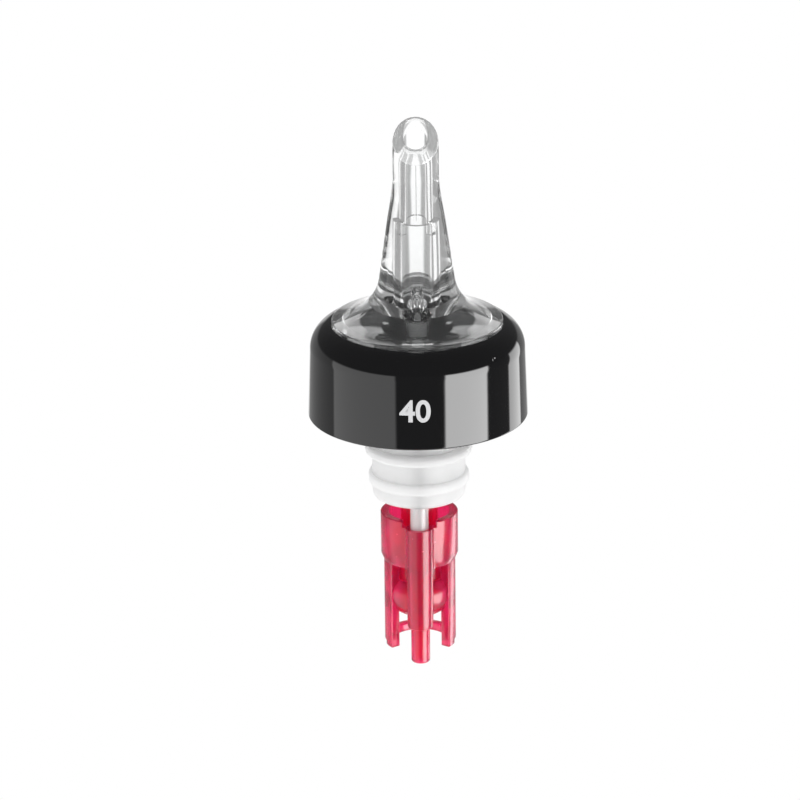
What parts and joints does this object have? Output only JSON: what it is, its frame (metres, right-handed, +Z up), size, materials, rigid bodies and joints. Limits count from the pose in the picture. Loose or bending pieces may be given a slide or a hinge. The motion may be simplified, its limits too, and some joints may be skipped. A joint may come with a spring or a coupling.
{
  "type": "measured liquor pourer",
  "caption": "Bottle pourer with a clear slanted spout, black collar, ribbed translucent cork and a red metering tail whose steel balls shut off the flow after one measure.",
  "frame": {"origin": "on the pourer's axis, in the plane of the cork head's underside, where the bottle's lip seats", "axes": "+Z up along the pourer's axis towards the spout, -Y front, where the mouth is lowest and the breather is, +X right"},
  "size_m": [0.0406, 0.0406, 0.1035],
  "materials": {
    "clear_plastic": "clear, polished",
    "clear_tube": "clear",
    "black_plastic": "gloss",
    "milky_plastic": "satin, translucent",
    "red_plastic": "gloss, translucent",
    "black_rubber": "matte",
    "polished_steel": "polished"
  },
  "bodies": {
    "pourer": {"spout": "clear_plastic", "ball_seat": "black_rubber", "collar": "black_plastic", "cork": "milky_plastic", "breather_tube": "clear_tube", "metering_tube": "red_plastic", "ball_cage": "red_plastic"},
    "spout_ball": {"spout_ball": "polished_steel"},
    "metering_ball": {"metering_ball": "polished_steel"},
    "breather_ball": {"breather_ball": "polished_steel"}
  },
  "joints": [
    {"name": "spout_ball_lift", "type": "slide", "parent": "pourer", "child": "spout_ball", "axis": [0, 0, 1], "range_m": [0, 0.01452]},
    {"name": "metering_ball_lift", "type": "slide", "parent": "pourer", "child": "metering_ball", "axis": [0, 0, 1], "range_m": [0, 0.02111]},
    {"name": "breather_ball_lift", "type": "slide", "parent": "pourer", "child": "breather_ball", "axis": [0, 0, 1], "range_m": [0, 0.00931]}
  ]
}
